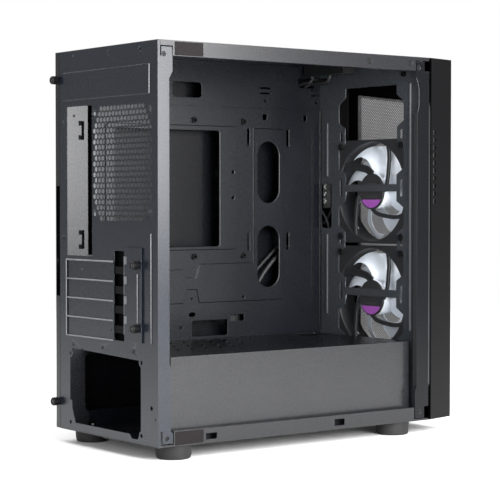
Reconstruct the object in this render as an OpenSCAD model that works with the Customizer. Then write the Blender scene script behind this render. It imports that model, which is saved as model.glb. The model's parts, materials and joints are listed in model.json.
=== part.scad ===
/* [Steel body] */
// Width across the side faces
case_w = 198.6; // [198:0.2:206]
// Height of the steel body, without the feet and the top filter
case_h = 407; // [405:1:412]
// Length of the steel body, from the rear face to the front panel seam
case_l = 369.4; // [369:0.2:376]
// Thickness of the folded steel sheet
sheet = 0.8; // [0.7:0.1:1]
// Height of the rails along the open side
rail_h = 15.4; // [14:0.2:16]
// Height of the power supply shroud's top face
shroud_h = 89; // [87:1:90]
// Distance from the centre plane to the motherboard tray's open face
tray_x = 78.6; // [77:0.2:79]

/* [Feet] */
// Height of a foot
foot_h = 15; // [12:1:20]
// Diameter of a foot at the top
foot_d = 38; // [34:1:40]

/* [Front panel] */
// Depth of the front panel, from the seam to its front face
front_depth = 39.6; // [36:0.2:44]
// How far the front panel's sides lean in
front_lean = 9.3; // [4:0.1:12]
// Wall thickness of the plastic
front_wall = 2.4; // [2:0.2:3]

/* [Fans] */
// Width of a fan frame
fan_w = 120; // [119:0.5:120]
// Depth of a fan frame
fan_t = 25; // [24:0.5:25]
// Spacing of the fan screws
fan_pitch = 105; // [105]
// Height of the upper fan's axis over the bottom sheet
fan_upper_z = 257.6; // [256:0.2:259]
// Height of the lower fan's axis over the bottom sheet
fan_lower_z = 134; // [133:0.2:135.4]
// Number of blades on a rotor
blades = 7; // [5:1:9]

/* [Expansion slots] */
// Spacing of the expansion slots
slot_pitch = 20.32; // [20.32]
// Number of expansion slots
slots = 4; // [4]

/* [Moving parts] */
// Length of a thumbscrew's head
thumb_len = 8; // [6:0.5:9]
// Radius of a thumbscrew's head
thumb_r = 4.5; // [4:0.1:4.5]
// Thickness of the magnetic filter on the top
filter_t = 1.6; // [1.2:0.1:2]

/* [Hidden] */

$fn = 48;
small_fn = 24;
eps = 0.05;

// Main planes, measured from the rear face, the centre plane and the bottom sheet
side_x = case_w / 2;
inner_x = side_x - sheet;
panel_gap = 0.7;
hidden_x = side_x - sheet - panel_gap;
rivet_hole_r = 2.5;
rail_hole_r = 3.2;
pad_recess = 0.3;
pad_y = [-20.6, -55.6];
rail_screw_y = [-278, -338];
plate_y = -355;
column_back_y = -348.3;
column_front_y = -366;
lip_w = 3;
top_rail_z = case_h - rail_h;
y_front = -(case_l + front_depth);

// Rear face
rear_edge_x = 90.6;
io_x = [24.7, 75.1];
io_z = [188.5, 347.25];
vent_c = [-32.7, 285.4];
vent_r = 58.5;
vent_corner = 99;
hex_pitch = 6.6;
hex_w = 5.3;
slot_x = [-16, 76.5];
slot_z = 103.6;
slot_gap = 1.7;
rim_w = 1.6;
rim_h = 0.7;
channel_x = [-39.2, -17.5];
lock_x = [-72, -40.4];
lock_z = [103, 199.4];
channel_top = 195.5;
lock_y = 1.3;
lock_screw_x = -66;
lock_bead_x = -64.6;
lock_bead_z = [123, 173];
lock_window_z = [17.3, 25.5];
y_shift = -(y_front + lock_y + sheet + thumb_len) / 2;
lock_screw_z = [117.7, 181.7];
psu_x = [-74.7, 75.3];
psu_z = 3.1;
screw_r = 2.0;
stamp_h = 1.2;
stamp_run = 0.4;
dimple_r = 4.2;
small_hole_r = 1.6;
small_dimple_r = 2.7;
top_hole_x = [61.8, -7.9, -66.4];
low_hole_x = [62.5, 4.5, -55];
edge_hole_z = [330, 207];
edge_hole_x = 83;
top_hole_z = 400;
low_hole_z = 94.5;
thumb_x = side_x - thumb_r;
thumb_z = [29, 377];
grip_z = [144, 263];

// Motherboard tray
mount_y = [-168.5, -238.35];
mount_z = [183.46, 338.4];
low_mount = [-166, 135.2];
mount_r = 1.45;
cpu_cut = [-203.7, 194.8, -62, 326.8];
grommet_y = -274.8;
grommet_w = 31.4;
grommet_len = 71.4;
grommet_z = [181.4, 280.1];
tray_step_z = 354.7;
hook_z = [313, 194.8];
frame_raise = 1.8;
pad_raise = 1.4;

// Front plate
fan_x = -12.6;
bay_z = [79.5, 201, 322.2];
bay_narrow = 44.6;
bay_wide = 56.8;
cable_slot_x = [58, 77];
cable_slot_z = [214, 268];

// Fans
fan_back_y = plate_y - sheet;
bore_r = 57.4;
hub_r = 20.85;
hub_wall = 1.6;
shaft_r = 1.5;
shaft_gap = 0.05;
blade_tip_r = 55.6;
label_t = 0.3;

// Front input and output block, in the top panel
io_c = [40, -336];
io_size = [74, 18];
io_depth = 13;
usb_x = [27, 44];
jack_x = 60;
power_x = 13;
reset_x = 70;
button_y = -336;

// Power supply intake and its filter
intake = [-50, -160];
filter_half = 55;
filter_y = [-170, -12];

foot_xy = [78, [-33, -331]];

// Front panel's opening, lower at its left end
mesh_half = 66;
mesh_z = [34, 371.6];
mesh_low_z = 354.6;

module place() translate([0, y_shift, foot_h]) children();

// Sheets: a flat outline lifted off one of the three main planes
module sheet_x(x, t = sheet) translate([x, 0, 0]) rotate([90, 0, 90]) linear_extrude(t) children();
module sheet_y(y, t = sheet) translate([0, y, 0]) rotate([90, 0, 0]) linear_extrude(t) children();
module sheet_z(z, t = sheet) translate([0, 0, z]) linear_extrude(t) children();

module area(a, b) translate([min(a[0], b[0]), min(a[1], b[1])]) square([abs(b[0] - a[0]), abs(b[1] - a[1])]);

module round_area(a, b, r) {
    lo = [min(a[0], b[0]), min(a[1], b[1])];
    hi = [max(a[0], b[0]), max(a[1], b[1])];
    area([lo[0] + r, lo[1]], [hi[0] - r, hi[1]]);
    area([lo[0], lo[1] + r], [hi[0], hi[1] - r]);
    for (x = [lo[0] + r, hi[0] - r], y = [lo[1] + r, hi[1] - r]) translate([x, y]) circle(r);
}

module slot2(c, w, h) {
    if (w > h) {
        translate([c[0] - (w - h) / 2, c[1] - h / 2]) square([w - h, h]);
        for (s = [-1, 1]) translate([c[0] + s * (w - h) / 2, c[1]]) circle(h / 2);
    } else {
        translate([c[0] - w / 2, c[1] - (h - w) / 2]) square([w, h - w]);
        for (s = [-1, 1]) translate([c[0], c[1] + s * (h - w) / 2]) circle(w / 2);
    }
}

module dot(c, r) translate(c) circle(r);

module linear_extrude_between(z0, z1) translate([0, 0, z0]) linear_extrude(z1 - z0) children();

module cyl_y(x, y, z, r, len, f = $fn) translate([x, y, z]) rotate([90, 0, 0]) cylinder(r = r, h = len, $fn = f);
module cyl_x(x, y, z, r, len, f = $fn) translate([x, y, z]) rotate([0, 90, 0]) cylinder(r = r, h = len, $fn = f);

// A stamped bead with steep sides: along Z, standing off the rear face
module bead_rear(x, z0, z1, w = 2.6) {
    translate([x, 0, z0]) linear_extrude(z1 - z0)
        polygon([[-w / 2, -eps], [w / 2, -eps], [w / 2 - stamp_run, stamp_h], [-w / 2 + stamp_run, stamp_h]]);
}

// A stamped rectangle with the same steep sides all round, from corner a to corner b
module raised_rear(a, b) {
    w = b[0] - a[0];
    h = b[1] - a[1];
    intersection() {
        translate([a[0], 0, a[1]]) linear_extrude(h)
            polygon([[0, -eps], [w, -eps], [w - stamp_run, stamp_h], [stamp_run, stamp_h]]);
        translate([a[0], 0, a[1]]) rotate([90, 0, 90]) linear_extrude(w)
            polygon([[-eps, 0], [-eps, h], [stamp_h, h - stamp_run], [stamp_h, stamp_run]]);
    }
}

// Shallow dimple pressed into the rear face round a hole
module dimple(x, z, r_rim) {
    depth = 0.5;
    run = 0.7;
    translate([x, -depth, z]) rotate([-90, 0, 0])
        cylinder(r1 = r_rim - run, r2 = r_rim, h = depth + 0.01, $fn = small_fn);
}

// The same bead on the tray, standing towards the open side
module bead_tray(y, z0, z1, w = 2.8, h = 1.1, run = 0.8) {
    translate([tray_x, y, z0]) linear_extrude(z1 - z0)
        polygon([[eps, -w / 2], [eps, w / 2], [-h, w / 2 - run], [-h, -w / 2 + run]]);
}

// ---- Rear panel ----

module hex_field(c, r, corner) {
    row_h = hex_pitch * sqrt(3) / 2;
    rows = floor(r / row_h);
    cols = floor(r / hex_pitch);
    clear = dimple_r + hex_w / 2 + 1;
    for (j = [-rows:rows], i = [-cols:cols]) {
        x = (i + (abs(j) % 2) / 2) * hex_pitch;
        y = j * row_h;
        screw = norm([abs(x) - fan_pitch / 2, abs(y) - fan_pitch / 2]);
        if (abs(x) + hex_w / 2 < r && abs(x) + abs(y) < corner && screw > clear)
            translate([c[0] + x, c[1] + y]) rotate(30) circle(d = hex_w / cos(30), $fn = 6);
    }
}

module psu_opening() {
    u = psu_x[1];
    v = psu_z;
    difference() {
        polygon([
            [u - 10, v + 86], [u - 140, v + 82], [u - 143, v + 76], [u - 143, v + 10], [u - 137, v + 1.6],
            [u - 126, v + 1.6], [u - 122, v + 6], [u - 16, v + 6], [u - 9, v + 22], [u - 9, v + 30],
            [u - 5, v + 30], [u - 5, v + 76]
        ]);
        dot([u - 6, v + 80], 4.2);
        dot([u - 144, v + 80], 4.6);
        dot([u - 144, v + 6], 4.6);
    }
    dot([u - 30, v + 86], 1.2);
}

module psu_holes() for (p = [[6, 80], [144, 80], [6, 6], [144, 6]]) dot([psu_x[1] - p[0], psu_z + p[1]], screw_r);

module fan_hole_set(c, r) {
    for (i = [-1, 1], j = [-1, 1]) dot([c[0] + i * fan_pitch / 2, c[1] + j * fan_pitch / 2], r);
}

// Rolled edges round the slot openings
module slot_rims() {
    top = slot_z + slots * slot_pitch - slot_gap;
    for (i = [0:slots]) {
        z = i < slots ? slot_z + i * slot_pitch - slot_gap / 2 : top + slot_gap / 2;
        translate([slot_x[0], 0, z]) rotate([90, 0, 90]) linear_extrude(slot_x[1] + rim_w - slot_x[0])
            polygon([[-eps, -rim_w / 2], [rim_h, -0.3], [rim_h, 0.3], [-eps, rim_w / 2]]);
    }
    translate([slot_x[1] + 0.1, 0, slot_z - slot_gap / 2]) linear_extrude(top + slot_gap - slot_z)
        polygon([[0, -eps], [0.4, rim_h], [rim_w - 0.4, rim_h], [rim_w, -eps]]);
}

// Plate that closes the view through the channel beside the slots
module channel_shield() {
    x = [channel_x[0] - 1.8, slot_x[0] + 9];
    z = [lock_z[0] - 3, channel_top + 3];
    y = -8;
    translate([x[0], y - sheet, z[0]]) cube([x[1] - x[0], sheet, z[1] - z[0]]);
    translate([x[0], y - sheet, z[0]]) cube([sheet, -y + eps, z[1] - z[0]]);
}

module rear_outline() {
    difference() {
        area([-side_x, sheet], [rear_edge_x, case_h - sheet]);
        area([io_x[0], io_z[0]], [io_x[1], io_z[1]]);
        hex_field(vent_c, vent_r, vent_corner);
        fan_hole_set(vent_c, 2.2);
        for (i = [0:slots - 1]) {
            area([slot_x[0], slot_z + i * slot_pitch], [slot_x[1], slot_z + (i + 1) * slot_pitch - slot_gap]);
        }
        area([channel_x[0], lock_z[0]], [channel_x[1], channel_top]);
        for (z = lock_screw_z) dot([lock_screw_x, z], 1.7);
        psu_opening();
        psu_holes();
        for (x = top_hole_x) dot([x, top_hole_z], small_hole_r);
        for (x = low_hole_x) dot([x, low_hole_z], small_hole_r);
        for (z = edge_hole_z) dot([edge_hole_x, z], small_hole_r);
        dot([-87.3, 38.9], 2.2);
        dot([-93.6, 377.8], 1);
        dot([-94.4, 28.2], 1);
    }
}

module rear_column_outline() {
    polygon([
        [-sheet, sheet], [-3, sheet], [-3, 16], [-5, 16], [-5, 3.3], [-18, 3.3], [-18, 13.3],
        [-15.4, 15.9], [-15.4, 80], [-14, 84], [-14, 369], [-18, 376], [-18, case_h - 19],
        [-17.2, case_h - 6.6], [-4.4, case_h - 6.6], [-4.4, case_h - 16], [-3, case_h - 16], [-3, case_h - sheet],
        [-sheet, case_h - sheet]
    ]);
}

module rear_panel() {
    color("#3a3c42") {
        difference() {
            sheet_y(0) rear_outline();
            for (i = [-1, 1], j = [-1, 1]) {
                dimple(vent_c[0] + i * fan_pitch / 2, vent_c[1] + j * fan_pitch / 2, dimple_r);
            }
            for (x = top_hole_x) dimple(x, top_hole_z, small_dimple_r);
            for (x = low_hole_x) dimple(x, low_hole_z, small_dimple_r);
            for (z = edge_hole_z) dimple(edge_hole_x, z, small_dimple_r);
        }
        difference() {
            sheet_x(-side_x) rear_column_outline();
            cyl_x(-side_x - 1, -7.5, case_h - 14, rivet_hole_r, 3, small_fn);
            cyl_x(-side_x - 1, -11, 8.6, rivet_hole_r, 3, small_fn);
        }
        // Strip that the side panel's flange screws to
        for (z = thumb_z) {
            difference() {
                translate([rear_edge_x - sheet, -2.4, z - 22]) cube([hidden_x - rear_edge_x + sheet, sheet, 44]);
                cyl_y(thumb_x, 0, z, 1.9, 5);
            }
            translate([rear_edge_x - sheet, -2.4, z - 22]) cube([sheet, 2.4, 44]);
        }
        raised_rear([-85, 354], [83, 384]);
        bead_rear(-86.5, 103, 214);
        slot_rims();
        channel_shield();
        // Turned flange of the input and output opening
        translate([io_x[0] - sheet, -6, io_z[0] - sheet]) cube([sheet, 6 - eps, io_z[1] - io_z[0] + 2 * sheet]);
    }
}

// ---- Top and bottom panels ----

module top_vent_outline() {
    for (side = [-1, 1]) {
        c = [-8, -92 + (side < 0 ? -134 : 0)];
        for (j = [-8:8], i = [-3:3]) {
            x = i * 16 + (abs(j) % 2) * 8;
            if (norm([x, j * 6.4]) < 56) slot2([c[0] + x, c[1] + j * 6.4], 12, 3.6);
        }
        for (i = [-1, 1], j = [-1, 1]) dot([c[0] + i * fan_pitch / 2, c[1] + j * fan_pitch / 2], 2.2);
    }
}

module io_cuts(grow) {
    for (x = usb_x) area([x - 6.6 - grow, io_c[1] - 3 - grow], [x + 6.6 + grow, io_c[1] + 3 + grow]);
    dot([jack_x, io_c[1]], 3.6 + grow);
    dot([power_x, button_y], 6.6 + grow);
    dot([reset_x, button_y], 3.3 + grow);
}

// Room for the side panel's rear flange
module flange_notch() area([rear_edge_x, 1], [side_x, -sheet - 0.4]);

// Shallow recess for a damping pad in the outer face of a rail
module pad_seat(z0, z1) translate([-side_x - 1, pad_y[1], z0]) cube([1 + pad_recess, pad_y[0] - pad_y[1], z1 - z0]);

module top_panel() {
    color("#3a3b3d") {
        sheet_z(case_h - sheet) difference() {
            area([-side_x, 0], [hidden_x, -case_l]);
            flange_notch();
            top_vent_outline();
            area([io_c[0] - io_size[0] / 2, io_c[1] - io_size[1] / 2],
                 [io_c[0] + io_size[0] / 2, io_c[1] + io_size[1] / 2]);
        }
        difference() {
            sheet_x(-side_x) difference() {
                area([-3.3, top_rail_z], [column_front_y, case_h - sheet + eps]);
                area([-3.2, top_rail_z - 1], [-18.3, case_h - 5.5]);
                area([-345.9, top_rail_z - 1], [column_front_y - 1, case_h - 3.9]);
            }
            for (y = rail_screw_y) cyl_x(-side_x - 1, y, case_h - 7.5, rail_hole_r, 3, small_fn);
            pad_seat(top_rail_z + 0.9, case_h - 1.2);
        }
        // Return lip under the open-side rail
        translate([-inner_x - eps, -345, top_rail_z]) cube([9, 345 - 20, sheet]);
        // Flange behind the right side panel
        sheet_x(hidden_x - sheet) area([-3, case_h - 14], [column_back_y, case_h - sheet + eps]);
    }
}

module intake_outline() {
    for (j = [0:13], i = [0:4]) {
        x = intake[0] + 9 + i * 19.5 + (j % 2) * 4;
        y = intake[1] + 8 + j * 7.9;
        slot2([x, y], 15, 4);
    }
}

module bottom_panel() {
    color("#4a4b4e") {
        sheet_z(0) difference() {
            area([-side_x, 0], [hidden_x, -case_l]);
            flange_notch();
            intake_outline();
            for (s = [-1, 1], y = foot_xy[1]) dot([s * foot_xy[0], y], 2.2);
            for (x = [-56, 56], y = [-225, -325]) slot2([x, y], 12, 4);
        }
        difference() {
            sheet_x(-side_x) difference() {
                area([-3.3, sheet - eps], [column_front_y, 15.5]);
                area([-3.9, 2.2], [-19.1, 16]);
                area([-344.9, 2.2], [column_front_y - 1, 16]);
                area([-58.5, 4], [-72.3, 10.3]);
                area([-229, 4.2], [-243, 11.2]);
            }
            pad_seat(1.2, 14.6);
        }
        translate([-inner_x - eps, -345, 15.5 - sheet]) cube([6, 345 - 20, sheet]);
        sheet_x(hidden_x - sheet) area([-3, sheet - eps], [column_back_y, 14]);
    }
}

// ---- Front plate with its columns ----

module bay_outline(z) {
    // Waisted opening: wide beside the blades, narrow at the screw lands
    right = [
        [bay_narrow, 56.4], [bay_narrow, 45.4], [bay_wide, 38], [bay_wide, 16], [bay_narrow + 1, 9.4],
        [bay_narrow + 1, -9.4], [bay_wide, -16], [bay_wide, -38], [bay_narrow, -45.4], [bay_narrow, -56.4]
    ];
    left = [for (i = [len(right) - 1:-1:0]) [-right[i][0], right[i][1]]];
    translate([fan_x, z]) polygon(concat(right, left));
}

module land_slots(z) {
    for (s = [-1, 1]) {
        slot2([fan_x + s * fan_pitch / 2, z], 3.6, 12);
    }
}

module front_plate_outline() {
    difference() {
        area([-inner_x, sheet], [hidden_x - sheet, case_h - sheet]);
        for (z = bay_z) {
            bay_outline(z);
            land_slots(z);
        }
        round_area([cable_slot_x[0], cable_slot_z[0]], [cable_slot_x[1], cable_slot_z[1]], 4);
        round_area([81, cable_slot_z[0]], [94, cable_slot_z[1]], 4);
        for (z = [fan_upper_z, fan_lower_z]) fan_hole_set([fan_x, z], 2.1);
        // Long slots beside the straps between the bays
        for (z = [bay_z[0] + bay_z[1], bay_z[1] + bay_z[2]], s = [-1, 1]) {
            slot2([fan_x + s * fan_pitch / 2, z / 2], 4.2, 20);
        }
        for (z = [20, 390]) for (x = [-70, 70]) dot([x, z], 3.2);
    }
}

module front_column_outline() {
    polygon([
        [column_front_y, 15.9], [-359.8, 15.9], [-359.8, 3.3], [-346, 3.3], [-346, 15], [-345.7, 24],
        [-345.7, 33], [column_back_y, 39], [column_back_y, 345], [-350.8, 352], [-350.8, 372], [-347, 384],
        [-347, case_h - 5], [-359, case_h - 5], [-359, case_h - 15.8], [column_front_y, case_h - 15.8]
    ]);
}

module front_plate() {
    color("#2b2d31") {
        sheet_y(plate_y) front_plate_outline();
        difference() {
            sheet_x(-side_x) front_column_outline();
            cyl_x(-side_x - 1, -352, 10, rivet_hole_r, 3, small_fn);
            cyl_x(-side_x - 1, -350.6, case_h - 12, rivet_hole_r, 3, small_fn);
        }
        // Lip folded in at an angle along the left column's rear edge
        linear_extrude_between(40, 344) polygon([
            [-side_x, column_back_y - 0.4], [-side_x, column_back_y], [-side_x + lip_w, column_back_y + lip_w],
            [-side_x + lip_w + sheet, column_back_y + lip_w], [-side_x + sheet, column_back_y - 0.4]
        ]);
        // Forward lip of the right edge
        translate([hidden_x - sheet, column_front_y, 15]) cube([sheet, plate_y - column_front_y, case_h - 30]);
        // Beads on the face towards the inside
        for (bead = [[-80, 100, 379], [66, 276, 339], [66, 112, 207]]) {
            translate([bead[0], plate_y, bead[1]]) linear_extrude(bead[2] - bead[1])
                polygon([[-2, -eps], [2, -eps], [0.9, 1.2], [-0.9, 1.2]]);
        }
    }
}

// ---- Motherboard tray ----

module tray_cuts() {
    round_area([cpu_cut[0], cpu_cut[1]], [cpu_cut[2], cpu_cut[3]], 3);
    for (z = grommet_z) slot2([grommet_y, z], grommet_w, grommet_len);
    for (y = mount_y, z = mount_z) dot([y, z], mount_r);
    for (z = mount_z) dot([-11, z], mount_r);
    dot(low_mount, mount_r);
    dot([-11, low_mount[1]], mount_r);
    dot([-238.35, low_mount[1]], mount_r);
    slot2([-166.3, 117], 9, 5);
    for (z = [250.3, 280]) dot([-223, z], 1.7);
    for (y = [-270.7, -330.2]) area([y - 3.2, 341.6], [y + 3.2, 348]);
    for (y = [-246.5, -304.6], z = [188.8, 310.6]) area([y - 1.9, z], [y + 1.9, z + 20]);
    for (z = hook_z) difference() {
        area([-23.5, z], [-16.6, z + 20]);
        area([-20.4, z + 4.6], [-16, z + 15.4]);
    }
    // Gap between the rear strip, seen through the connector opening, and the main sheet
    area([-28.3, 188], [-36, 352]);
    round_area([-166.3, 92], [-216.3, 110], 2);
    area([-220, 107.5], [-240, 115.2]);
    dot([-150.8, 102.7], 2);
    for (y = foot_xy[1]) area([y - 5, 0], [y + 5, 6]);
    // Way through to the power supply and drive space
    round_area([-24, 18], [-338, 80], 6);
}

module tray_upper_cuts() {
    round_area([-140.1, 364], [-180.5, 381.6], 5);
    round_area([-321, 381], [-347, 393], 3);
    for (y = [-271.9, -349]) {
        for (z = [371.6, 377.6]) area([y - 7.8, z], [y + 7.8, z + 2]);
        dot([y, 364], 1.6);
    }
}

// Stamped L-shaped pad round the two cable slots, with a notch at the low mounts
module tray_pad() {
    polygon([
        [-3, 168.9], [-153.2, 168.9], [-157, 159.6], [-171, 159.6], [-175.8, 174.7], [-253.6, 174.7],
        [-253.6, 331.3], [-297, 331.3], [-297, 130.2], [-175.8, 130.2], [-172, 145.6], [-158, 145.6],
        [-153.2, 130.2], [-3, 130.2]
    ]);
}

module motherboard_tray() {
    tray_back_y = -sheet;
    color("#44464b") {
        sheet_x(tray_x) difference() {
            area([tray_back_y, sheet], [plate_y, tray_step_z]);
            tray_cuts();
        }
        // Upper strip, set back from the rest
        sheet_x(tray_x + sheet) difference() {
            area([tray_back_y, tray_step_z - 2], [plate_y, case_h - sheet]);
            tray_upper_cuts();
        }
        // Raised frame round the processor cut-out
        sheet_x(tray_x - frame_raise, frame_raise + eps) difference() {
            round_area([-230.1, 190.8], [-50, 332.5], 6);
            round_area([cpu_cut[0], cpu_cut[1]], [cpu_cut[2], cpu_cut[3]], 3);
            for (z = [250.3, 280]) dot([-223, z], 1.7);
        }
        sheet_x(tray_x - pad_raise, pad_raise + eps) difference() {
            tray_pad();
            for (z = grommet_z) slot2([grommet_y, z], grommet_w, grommet_len);
            dot([-11, low_mount[1]], mount_r);
            dot([-238.35, low_mount[1]], mount_r);
        }
        // Raised mounts for the board
        for (y = mount_y, z = mount_z) {
            difference() {
                cyl_x(tray_x - 3, y, z, 3.4, 3 + eps);
                cyl_x(tray_x - 4, y, z, mount_r, 6);
            }
        }
        bead_tray(-343, 131, 331.5);
        // Stiffening fold at the front edge
        translate([tray_x - 2, plate_y, 92]) cube([2 + eps, sheet, 262]);
    }
}

// ---- Power supply shroud ----

module shroud_vents() {
    for (row = [0:2], i = [0:10 - 2 * row]) {
        translate([52 - row * 34, -44 - i * 18.5]) rotate(-28) slot2([0, 0], 27, 3.2);
    }
}

module psu_shroud() {
    color("#5f6064") {
        sheet_z(shroud_h - sheet) difference() {
            area([-88, -23], [tray_x - 0.3, -347]);
            shroud_vents();
            round_area([40, -300], [70, -340], 4);
        }
        sheet_x(-88) area([-23, sheet], [-347, shroud_h - sheet + eps]);
        // Foot flange, fixed to the bottom panel
        sheet_z(sheet) area([-88 + sheet - eps, -30], [-80, -340]);
        // Front end turned in
        sheet_y(-347 + sheet) area([-88 + eps, 20], [-70, shroud_h - sheet + eps]);
    }
}

// ---- Expansion slot covers and their lock ----

module slot_cover(i) {
    z = slot_z + i * slot_pitch;
    h = slot_pitch - slot_gap;
    face_y = -1.9;
    fold_x = channel_x[0] + 0.8;
    color("#3c3e43") {
        difference() {
            translate([slot_x[0] - 1, face_y, z - 0.4]) cube([slot_x[1] - slot_x[0] + 1.9, sheet, h + 0.8]);
            for (x = [47, -11]) cyl_y(x, 1, z + h / 2, 1.1, 4, small_fn);
        }
        // Tab through the channel, turned out and folded over its far edge
        translate([fold_x, face_y, z + 7]) cube([slot_x[0] - 0.4 - fold_x, sheet, h - 11]);
        translate([fold_x, face_y, z + 7]) cube([sheet, 2.8, h - 11]);
        translate([fold_x - 8, 0.1, z + 6.2]) cube([8 + sheet, sheet, slot_pitch - 1]);
    }
}

module slot_lock() {
    color("#46474c") {
        difference() {
            union() {
                translate([0, lock_y + sheet, 0]) sheet_y(0) area([lock_x[0], lock_z[0]], [lock_x[1], lock_z[1]]);
                translate([lock_bead_x, lock_y + sheet - eps, lock_bead_z[0]])
                    linear_extrude(lock_bead_z[1] - lock_bead_z[0])
                    polygon([[-1.3, 0], [1.3, 0], [0.9, stamp_h], [-0.9, stamp_h]]);
            }
            for (z = lock_screw_z) cyl_y(lock_screw_x, 4, z, 2.3, 6);
            // Windows over the cover tabs
            for (i = [0:slots - 1]) {
                translate([lock_x[1] - 4.4, -1, slot_z + i * slot_pitch + lock_window_z[0]])
                    cube([6, 6, lock_window_z[1] - lock_window_z[0]]);
            }
        }
        // Turned edge that rests on the rear panel
        translate([lock_x[0], 0.3, lock_z[0]]) cube([sheet, lock_y - 0.3 + eps, lock_z[1] - lock_z[0]]);
    }
}

// Knurled head, shank along the axis into the case
module thumbscrew(x, y, z, shank) {
    flats = 20;
    color("#1a1a1c") {
        difference() {
            cyl_y(x, y + thumb_len, z, thumb_r, thumb_len - 1.2);
            for (i = [0:flats - 1]) {
                a = i * 360 / flats;
                translate([x + (thumb_r + 0.25) * cos(a), y, z + (thumb_r + 0.25) * sin(a)])
                    rotate([-90, 0, 0]) cylinder(d = 0.8, h = thumb_len + 1, $fn = 4);
            }
            for (r = [0, 90]) {
                translate([x, y + thumb_len, z]) rotate([0, r, 0]) translate([-2.4, -1.4, -0.5]) cube([4.8, 2, 1]);
            }
        }
        cyl_y(x, y + 1.2 + eps, z, thumb_r - 0.8, 1.2);
        cyl_y(x, y + 1, z, 1.5, shank + 1);
    }
}

// ---- Drive cage ----

module drive_cage() {
    cage_w = [-52, 70];
    cage_top = 84.4;
    color("#2c2d30") {
        difference() {
            union() {
                for (x = cage_w) sheet_x(x) area([-228, sheet], [-338, cage_top]);
                sheet_z(cage_top - sheet) area([cage_w[0], -228], [cage_w[1] + sheet, -338]);
                for (z = [20, 55.8]) for (x = [cage_w[0] + sheet - eps, cage_w[1] - 5 + eps]) {
                    translate([x, -338, z]) cube([5, 110, sheet]);
                }
            }
            for (y = [-250, -283, -316]) cyl_x(-60, y, 38, 6, 140);
        }
    }
}

module drive_tray(z) {
    color("#202124") {
        difference() {
            translate([-50.6, -335, z]) cube([119.8, 102, 26]);
            translate([-47.6, -332, z + 3]) cube([113.8, 96, 30]);
            for (y = [-305, -262]) translate([-30, y - 12, z - 1]) cube([80, 24, 6]);
            for (y = [-314, -272.5, -254]) cyl_x(-60, y, z + 9, 1.8, 140);
            translate([55, -300, z + 14]) cube([20, 32, 20]);
        }
    }
}

// ---- Feet ----

module foot(x, y) {
    color("#3f4042") translate([x, y, -foot_h]) difference() {
        rotate_extrude() polygon([
            [0, 0], [foot_d / 2 - 3.2, 0], [foot_d / 2 - 1.6, 0.8], [foot_d / 2 - 0.9, 2.4],
            [foot_d / 2, foot_h - 1], [foot_d / 2, foot_h], [0, foot_h]
        ]);
        translate([0, 0, -1]) cylinder(r = 4.6, h = foot_h - 3);
        cylinder(r = 2.2, h = foot_h + 1);
    }
}

module foot_screws() {
    color("#8a8c90") for (s = [-1, 1], y = foot_xy[1]) translate([s * foot_xy[0], y, -foot_h]) {
        translate([0, 0, foot_h - 6.5]) cylinder(r = 3.6, h = 2.4);
        translate([0, 0, foot_h - 4.2]) cylinder(r = 1.9, h = 8);
    }
}

// ---- Small fixings ----

module rivet(y, z) {
    color("#1d1e20") difference() {
        union() {
            cyl_x(-side_x + 0.1, y, z, rivet_hole_r - 0.3, sheet + 1.6, small_fn);
            cyl_x(-side_x + sheet + 0.4, y, z, 2.8, 1.2, small_fn);
        }
        cyl_x(-side_x - 1, y, z, 0.8, 2.2, small_fn);
    }
}

module chassis_rivets() {
    rivet(-7.5, case_h - 14);
    rivet(-11, 8.6);
    rivet(-352, 10);
    rivet(-350.6, case_h - 12);
}

module rail_screws() {
    color("#6a6b70") for (y = rail_screw_y) {
        difference() {
            union() {
                cyl_x(-side_x + 0.1, y, case_h - 7.5, rail_hole_r - 0.4, 1.6, small_fn);
                cyl_x(-side_x + sheet + 0.4, y, case_h - 7.5, 4.4, 1, small_fn);
                cyl_x(-side_x + sheet, y, case_h - 7.5, 1.6, 4, small_fn);
            }
            cyl_x(-side_x - 1, y, case_h - 7.5, 1.2, 2, 6);
        }
    }
}

// Thin damping pads, flush in the outer faces of the rails, that the glass panel sits against
module rail_pads() {
    edge = 0.2;
    color("#2e2c2d") for (z = [[top_rail_z + 0.9, case_h - 1.2], [1.2, 14.6]]) {
        sheet_x(-side_x, pad_recess - 0.02) area([pad_y[0] - edge, z[0] + edge], [pad_y[1] + edge, z[1] - edge]);
    }
}

module psu_pads() {
    color("#151516") for (x = [-68, 64], y = [-20, -150]) translate([x, y - 8, sheet]) cube([8, 16, 2]);
}

// ---- Input and output block ----

module io_housing() {
    color("#1b1b1d") difference() {
        union() {
            sheet_z(case_h - sheet) area(
                [io_c[0] - io_size[0] / 2 + 0.1, io_c[1] - io_size[1] / 2 + 0.1],
                [io_c[0] + io_size[0] / 2 - 0.1, io_c[1] + io_size[1] / 2 - 0.1]);
            difference() {
                sheet_z(case_h - io_depth, io_depth - sheet + eps) area(
                    [io_c[0] - io_size[0] / 2 + 1, io_c[1] - io_size[1] / 2 + 0.3],
                    [io_c[0] + io_size[0] / 2 - 1, io_c[1] + io_size[1] / 2 - 0.3]);
                sheet_z(case_h - io_depth - 1, io_depth - 1.4) area(
                    [io_c[0] - io_size[0] / 2 + 2.4, io_c[1] - io_size[1] / 2 + 1.7],
                    [io_c[0] + io_size[0] / 2 - 2.4, io_c[1] + io_size[1] / 2 - 1.7]);
            }
        }
        sheet_z(case_h - io_depth - 1, io_depth + 3) io_cuts(0.3);
    }
}

module io_board() {
    color("#1f4d34") difference() {
        sheet_z(case_h - io_depth + 0.2, 1.2) area([io_c[0] - 34, io_c[1] - 7], [io_c[0] + 34, io_c[1] + 7]);
        for (x = usb_x) translate([x - 5, io_c[1] - 6.5, case_h - io_depth - 1]) cube([10, 2, 4]);
    }
}

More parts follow.
